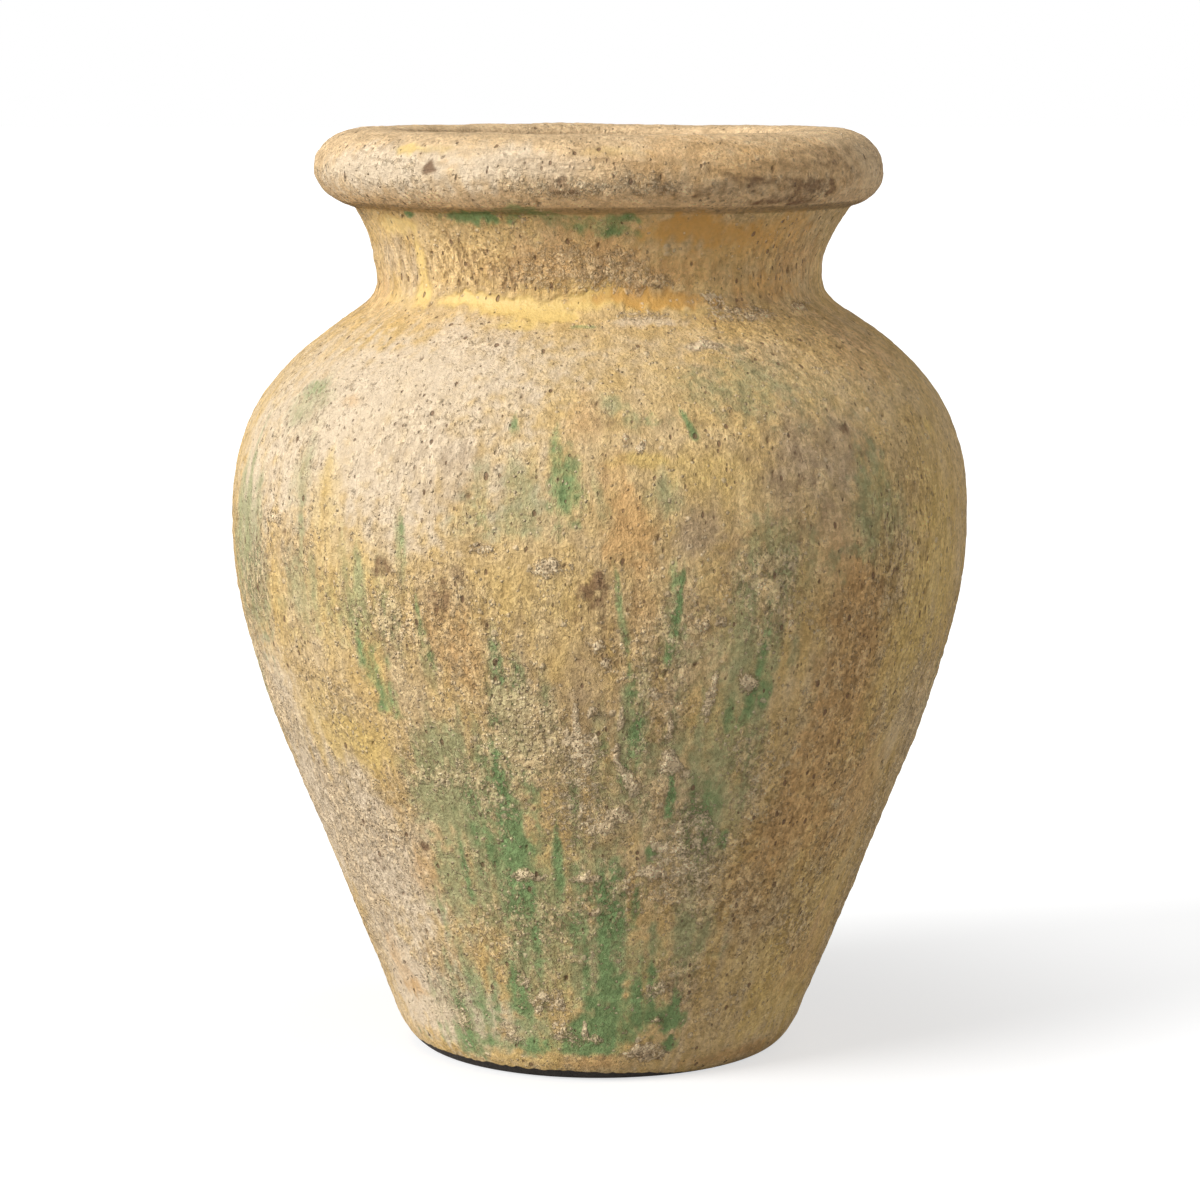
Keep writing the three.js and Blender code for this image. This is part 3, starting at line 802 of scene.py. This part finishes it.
class Shade:
    """A short way to write the nodes of their owner, a material or a world."""

    def __init__(self, owner):
        self.owner = owner
        owner.use_nodes = True
        self.nodes = owner.node_tree.nodes
        self.links = owner.node_tree.links
        self.nodes.clear()

    def feed(self, socket, value):
        if isinstance(value, bpy.types.NodeSocket):
            self.links.new(value, socket)
        elif isinstance(value, tuple):
            socket.default_value = (*value, 1)
        else:
            socket.default_value = value

    def node(self, kind, *ordered, **named):
        """A new node, with its inputs fed in order or by name."""
        node = self.nodes.new("ShaderNode" + kind)
        for socket, value in zip(node.inputs, ordered):
            self.feed(socket, value)
        for name, value in named.items():
            self.feed(node.inputs[name], value)
        return node

    def value(self, name):
        node = self.node("Attribute")
        node.attribute_name = name
        return node.outputs["Fac"]

    def noise(self, place, scale, detail, roughness=0.6):
        node = self.node("TexNoise", Vector=place, Scale=scale, Detail=detail, Roughness=roughness)
        return node.outputs["Fac"]

    def warped(self, place, scale, reach):
        """A place moved about by noise, so that what is drawn there isn't round."""
        node = self.node("TexNoise", Vector=place, Scale=scale)
        shift = self.node("VectorMath")
        shift.operation = "MULTIPLY_ADD"
        self.feed(shift.inputs[0], node.outputs["Color"])
        shift.inputs[1].default_value = (reach, reach, reach)
        self.feed(shift.inputs[2], place)
        return shift.outputs["Vector"]

    def drawn_out(self, place, across, up):
        """A place whose sides and height count for shares only, so that what lies there is wide or tall."""
        scale = self.node("CombineXYZ", across, across, up)
        node = self.node("VectorMath", place, scale.outputs["Vector"])
        node.operation = "MULTIPLY"
        return node.outputs["Vector"]

    def brushed(self, place, rim, down, around):
        """A place drawn out down the wall by one share and, on the rim, around it by another."""
        across = self.ramp(rim, 0.0, 1.0, 1.0, around)
        up = self.ramp(rim, 0.0, 1.0, down, 1.0)
        return self.drawn_out(place, across, up)

    def specks(self, place, scale, share, radius):
        """How far inside a scattered speck a place lies, and a chance that is the same all over its cell.

        The first is in cells of about 1 / scale, and below 0 outside. A share of the cells has a speck.
        Its radius is random, up to the one given.
        """
        node = self.node("TexVoronoi", Vector=place, Scale=scale)
        parts = self.node("SeparateColor", node.outputs["Color"])
        over = self.sum((parts.outputs["Red"], 1.0), (share, 1.0), offset=-1.0)
        size = self.times(self.math("MINIMUM", self.math("DIVIDE", over, share), 1.0), radius)
        empty = self.math("LESS_THAN", over, 0.0)
        depth = self.sum((size, 1.0), (node.outputs["Distance"], -1.0), (empty, -1.0))
        return depth, parts.outputs["Green"]

    def math(self, operation, a, b=0.0):
        node = self.node("Math", a, b)
        node.operation = operation
        return node.outputs[0]

    def times(self, a, b):
        return self.math("MULTIPLY", a, b)

    def larger(self, a, b):
        return self.math("MAXIMUM", a, b)

    def sum(self, *terms, offset=0.0):
        """The sum of values, each with its weight, and an offset."""
        total = offset
        for value, weight in terms:
            total = self.math("ADD", total, self.times(value, weight))
        return total

    def ramp(self, value, low, high, floor=0.0, ceiling=1.0):
        node = self.node("MapRange", value, low, high, floor, ceiling)
        node.interpolation_type = "SMOOTHSTEP"
        return node.outputs["Result"]

    def mix(self, share, a, b, blend="MIX"):
        node = self.node("Mix")
        node.data_type = "RGBA"
        node.blend_type = blend
        self.feed(node.inputs[0], share)
        self.feed(node.inputs[6], a)
        self.feed(node.inputs[7], b)
        return node.outputs[2]


def weathered_glaze():
    """Golden, amber and green glaze under a sandy crust, with stains, pinholes, a sooty foot, and painted
    light and shade on its relief.
    """
    shade = Shade(bpy.data.materials.new("weathered_glaze"))
    place = shade.node("TexCoord").outputs["Object"]
    bent = shade.warped(place, WARP_SCALE, WARP_REACH)
    names = ("rim", "runs", "polish", "crumbs", "ridges", "pitted", "cream", "brown")
    rim, runs, polish, crumbs, ridges, pitted, cream, brown = map(shade.value, names)
    rubble = shade.noise(shade.brushed(place, rim, 0.45, 0.4), RUBBLE_SCALE, 7, 0.66)
    comb = shade.noise(shade.brushed(place, rim, 0.22, 0.22), COMB_SCALE, 4)
    flake = shade.noise(shade.drawn_out(place, 1.0, 0.6), FLAKE_SCALE, 5, 0.7)
    sand = shade.noise(place, SAND_SCALE, 3, 0.65)
    speck = shade.noise(place, SPECK_SCALE, 3)
    cloud = shade.noise(place, CLOUD_SCALE, 4)
    blotch = shade.noise(place, BLOTCH_SCALE, 3)

    # The glaze, and the hazes over it. Each haze keeps to its marks, and the crust breaks its edges.
    sandy = shade.ramp(shade.sum((blotch, 0.7), (cloud, 0.5), (runs, 0.15), offset=0.15), 0.5, 1.0)
    colour = shade.mix(sandy, GOLD, SAND)
    colour = shade.mix(shade.times(rim, 0.8), colour, PEACH)
    for name, tone, cover, grip, drip in HAZES:
        mark = shade.value(name)
        terms = [(mark, 1.25), (cloud, 0.7), (rubble, -grip), (flake, -grip), (runs, drip)]
        haze = shade.ramp(shade.sum(*terms, offset=grip - 0.35), 0.05, 1.1, 0.0, cover)
        colour = shade.mix(shade.times(haze, shade.ramp(mark, 0.0, 0.15)), colour, tone)

    # The crust: patches of sand, grains and clumps on them, and strings, with dirt and painted shade at
    # their foot.
    patch = shade.sum((rubble, 0.5), (flake, 0.6), (crumbs, 0.3), (ridges, 0.2), (polish, -0.3))
    patch = shade.ramp(patch, 0.68, 0.74)
    grain_share = shade.sum((patch, 0.5), (crumbs, 0.2), (ridges, 0.4), offset=0.04)
    grain, chance = shade.specks(bent, GRAIN_SCALE, grain_share, 0.8)
    clump_share = shade.sum((ridges, 0.3), (crumbs, 0.08), offset=0.005)
    clump, _ = shade.specks(bent, CLUMP_SCALE, clump_share, 0.7)
    crest = shade.sum((ridges, 0.5), (sand, 1.3), (speck, 1.1), offset=-1.2)
    string = shade.times(shade.ramp(crest, 0.21, 0.28), shade.ramp(ridges, 0.1, 0.3))
    shaded_skirt = shade.times(shade.ramp(crest, 0.08, 0.19), shade.ramp(ridges, 0.05, 0.2))
    crumb = shade.ramp(shade.larger(grain, clump), 0.0, 0.12)
    # A dark ring round each grain and along the foot of each string: partly dirt, partly painted shade.
    dirt_and_shade = shade.math("SUBTRACT", shade.ramp(grain, -0.25, 0.0), shade.ramp(grain, 0.0, 0.12))
    dirt_and_shade = shade.larger(dirt_and_shade, shade.math("SUBTRACT", shaded_skirt, string))
    sandy_patch = shade.times(patch, shade.sum((crumbs, 0.5), offset=0.1))
    bare = shade.ramp(shade.value("orange"), 0.0, 0.6, 1.0, 0.35)
    layers = [(sandy_patch, 1.0, CRUST), (dirt_and_shade, 0.4, DIRT_AND_SHADE), (crumb, 0.55, CRUMB), (string, 0.8, CRUMB)]
    for share, cover, tone in layers:
        colour = shade.mix(shade.times(share, shade.times(bare, cover)), colour, tone)

    # Stains and scratches, then painted light on crests, painted shade in crevices, and lighter and darker
    # grains.
    stain = shade.sum((brown, 1.2), (rubble, -1.3), (speck, -0.8), (sand, -0.6), offset=1.25)
    stain = shade.times(shade.ramp(stain, 0.2, 1.0), shade.ramp(brown, 0.0, 0.15))
    scratch = shade.times(shade.ramp(comb, 0.50, 0.38), shade.sum((pitted, 0.9), offset=0.1))
    colour = shade.mix(shade.times(stain, 0.85), colour, STAIN)
    # Scratches are grooves darkened in colour: partly dirt, partly painted shade in the grooves.
    colour = shade.mix(shade.times(scratch, 0.55), colour, DIRT_AND_SHADE)
    # Painted light on the crests and painted shade in the crevices of the rubble, whose height also feeds
    # the bump.
    relief_light_and_shade = shade.mix(shade.ramp(rubble, 0.36, 0.64), PAINTED_SHADE_TINT, PAINTED_LIGHT_TINT)
    relief_light_and_shade_share = shade.sum((pitted, 0.4), (polish, -0.5), (cream, -0.4), offset=0.52)
    colour = shade.mix(relief_light_and_shade_share, colour, relief_light_and_shade, "MULTIPLY")
    # Each grain's tone differs at random, and the same value raises the grain, so lighter grains are
    # higher: partly random tone, partly painted light.
    grains = shade.mix(chance, PAINTED_SHADE_TINT, PAINTED_LIGHT_TINT)
    grain_light_and_shade_share = shade.sum((crumbs, 0.9), (pitted, 0.4), (polish, -0.25), (cream, -0.35), offset=0.38)
    colour = shade.mix(grain_light_and_shade_share, colour, grains, "MULTIPLY")

    # Pinholes, darkened partly by stain and partly as painted shade, the bare inside and the sooty foot.
    hole_share = shade.sum((pitted, 0.5), offset=0.12)
    hole, _ = shade.specks(shade.drawn_out(bent, 1.0, 0.55), HOLE_SCALE, hole_share, 0.35)
    prick_share = shade.sum((pitted, 0.4), offset=0.1)
    prick, _ = shade.specks(shade.drawn_out(bent, 1.0, 0.6), PRICK_SCALE, prick_share, 0.42)
    pits = shade.larger(shade.value("pits"), shade.ramp(hole, 0.0, 0.1))
    pits = shade.larger(pits, shade.ramp(prick, 0.0, 0.15, 0.0, 0.8))
    # Pinholes take the stain colour: partly stain, partly painted shade in the holes.
    colour = shade.mix(shade.times(pits, 0.8), colour, STAIN)
    colour = shade.mix(shade.value("inside"), colour, INNER_CLAY)
    sooty = shade.ramp(shade.sum((shade.value("soot"), 1.0), (sand, 0.4)), 0.5, 0.8)
    colour = shade.mix(sooty, colour, SOOT_BLACK)

    domes = [(shade.larger(grain, 0.0), 2.4), (shade.larger(clump, 0.0), 3.0), (string, 1.2)]
    rough = shade.sum((rubble, 2.0), (patch, 0.4), (sand, 1.0), (chance, 0.3), (scratch, -0.5), *domes)
    rough = shade.times(rough, shade.ramp(polish, 0.0, 1.0, 1.0, 0.35))
    height = shade.sum((rough, 1.0), (pits, -0.9))
    bump = shade.node("Bump", Strength=1.0, Distance=MM, Height=height)
    dull = shade.ramp(polish, 0.0, 1.0, 0.9, 0.36)
    finish = shade.node("BsdfPrincipled", Roughness=dull, Normal=bump.outputs["Normal"])
    shade.feed(finish.inputs["Base Color"], colour)
    shade.feed(finish.inputs["Specular IOR Level"], 0.3)
    shade.node("OutputMaterial", Surface=finish.outputs["BSDF"])
    return shade.owner


# The jar.

def dress(node, low, high, material):
    """The finished piece that stands for a node."""
    mesh = skin_mesh(node + "_finish", rings_between(low, high))
    mesh.materials.append(material)
    piece = bpy.data.objects.new(node + "_finish", mesh)
    bpy.context.scene.collection.objects.link(piece)
    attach(piece, "root")
    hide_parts(node)


glaze = weathered_glaze()
lows = [None, *[joint + SEAM for joint in JOINTS]]
highs = [*[joint - SEAM for joint in JOINTS], None]
for node, slot, low, high in zip(COURSES, COURSE_SLOTS, lows, highs):
    dress(node, low, high, glaze)
for node, joint in zip(BEDS, JOINTS):
    dress(node, joint - SEAM, joint + SEAM, glaze)


# The stage: floor, light and camera, in metres.

LAMPS = {  # azimuth, elevation and spread in degrees, and strength
    "key": (-58, 31, 32, 3.35),
    "fill": (85, 18, 45, 0.50),
}
WORLD_LIGHT = 0.23
FLOOR_SIZE = 40
FLOOR_GREY = 0.48
# The floor's glow is lower beside the jar than away from it: painted light that fades the jar's shadow with
# distance.
FLOOR_GLOW = (0.62, 0.82)  # beside the jar, and away from it
GLOW_REACH = (0.10, 0.36)  # from the middle of the jar


def camera_share(shade):
    """1 where the camera, a reflection or a refraction looks, and 0 for light that is bounced."""
    paths = shade.node("LightPath").outputs
    seen = shade.larger(paths["Is Camera Ray"], paths["Is Glossy Ray"])
    return shade.larger(seen, paths["Is Transmission Ray"])


def pale_floor():
    """A white floor that keeps the shadow: it glows a little where it is looked at."""
    shade = Shade(bpy.data.materials.new("pale_floor"))
    from_jar = shade.node("VectorMath", shade.node("TexCoord").outputs["Object"])
    from_jar.operation = "LENGTH"
    # Painted light on the floor: the glow grows away from the jar, fading the far part of its shadow.
    spread = shade.ramp(from_jar.outputs["Value"], *GLOW_REACH, *FLOOR_GLOW)
    glow = shade.node("Emission", Strength=shade.times(camera_share(shade), spread))
    matt = shade.node("BsdfDiffuse", Color=(FLOOR_GREY, FLOOR_GREY, FLOOR_GREY))
    both = shade.node("AddShader", matt.outputs["BSDF"], glow.outputs["Emission"])
    shade.node("OutputMaterial", Surface=both.outputs["Shader"])
    return shade.owner


def white_world():
    """Even light from all round, and plain white where it is looked at."""
    shade = Shade(bpy.data.worlds.new("studio"))
    strength = shade.ramp(camera_share(shade), 0.0, 1.0, WORLD_LIGHT)
    background = shade.node("Background", Color=(1, 1, 1), Strength=strength)
    shade.node("OutputWorld", Surface=background.outputs["Background"])
    return shade.owner


def soft_lamp(name, azimuth, elevation, spread, strength):
    """A wide, far lamp, whose angles are in degrees."""
    lamp = bpy.data.lights.new(name, "SUN")
    lamp.angle = math.radians(spread)
    lamp.energy = strength
    holder = bpy.data.objects.new(name, lamp)
    turn, rise = math.radians(azimuth), math.radians(elevation)
    flat = math.cos(rise)
    towards_lamp = Vector((math.sin(turn) * flat, -math.cos(turn) * flat, math.sin(rise)))
    holder.rotation_euler = towards_lamp.to_track_quat("Z", "Y").to_euler()
    bpy.context.scene.collection.objects.link(holder)


def photo_camera():
    """The camera at the photograph's place."""
    lens = bpy.data.cameras.new("camera")
    lens.sensor_width = SENSOR
    lens.lens = FOCAL_PX / FRAME_PX * SENSOR
    holder = bpy.data.objects.new("camera", lens)
    holder.location = (0, -CAMERA_BACK * MM, CAMERA_HEIGHT * MM)
    holder.rotation_euler = (math.pi / 2 - CAMERA_PITCH, 0, 0)
    bpy.context.scene.collection.objects.link(holder)
    return holder


bpy.ops.mesh.primitive_plane_add(size=FLOOR_SIZE)
floor = bpy.context.object
floor.name = "floor"
floor.data.materials.append(pale_floor())
floor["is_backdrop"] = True
for name, setting in LAMPS.items():
    soft_lamp(name, *setting)
scene = bpy.context.scene
scene.world = white_world()
scene.camera = photo_camera()
scene.view_settings.view_transform = "Standard"

low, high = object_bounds()
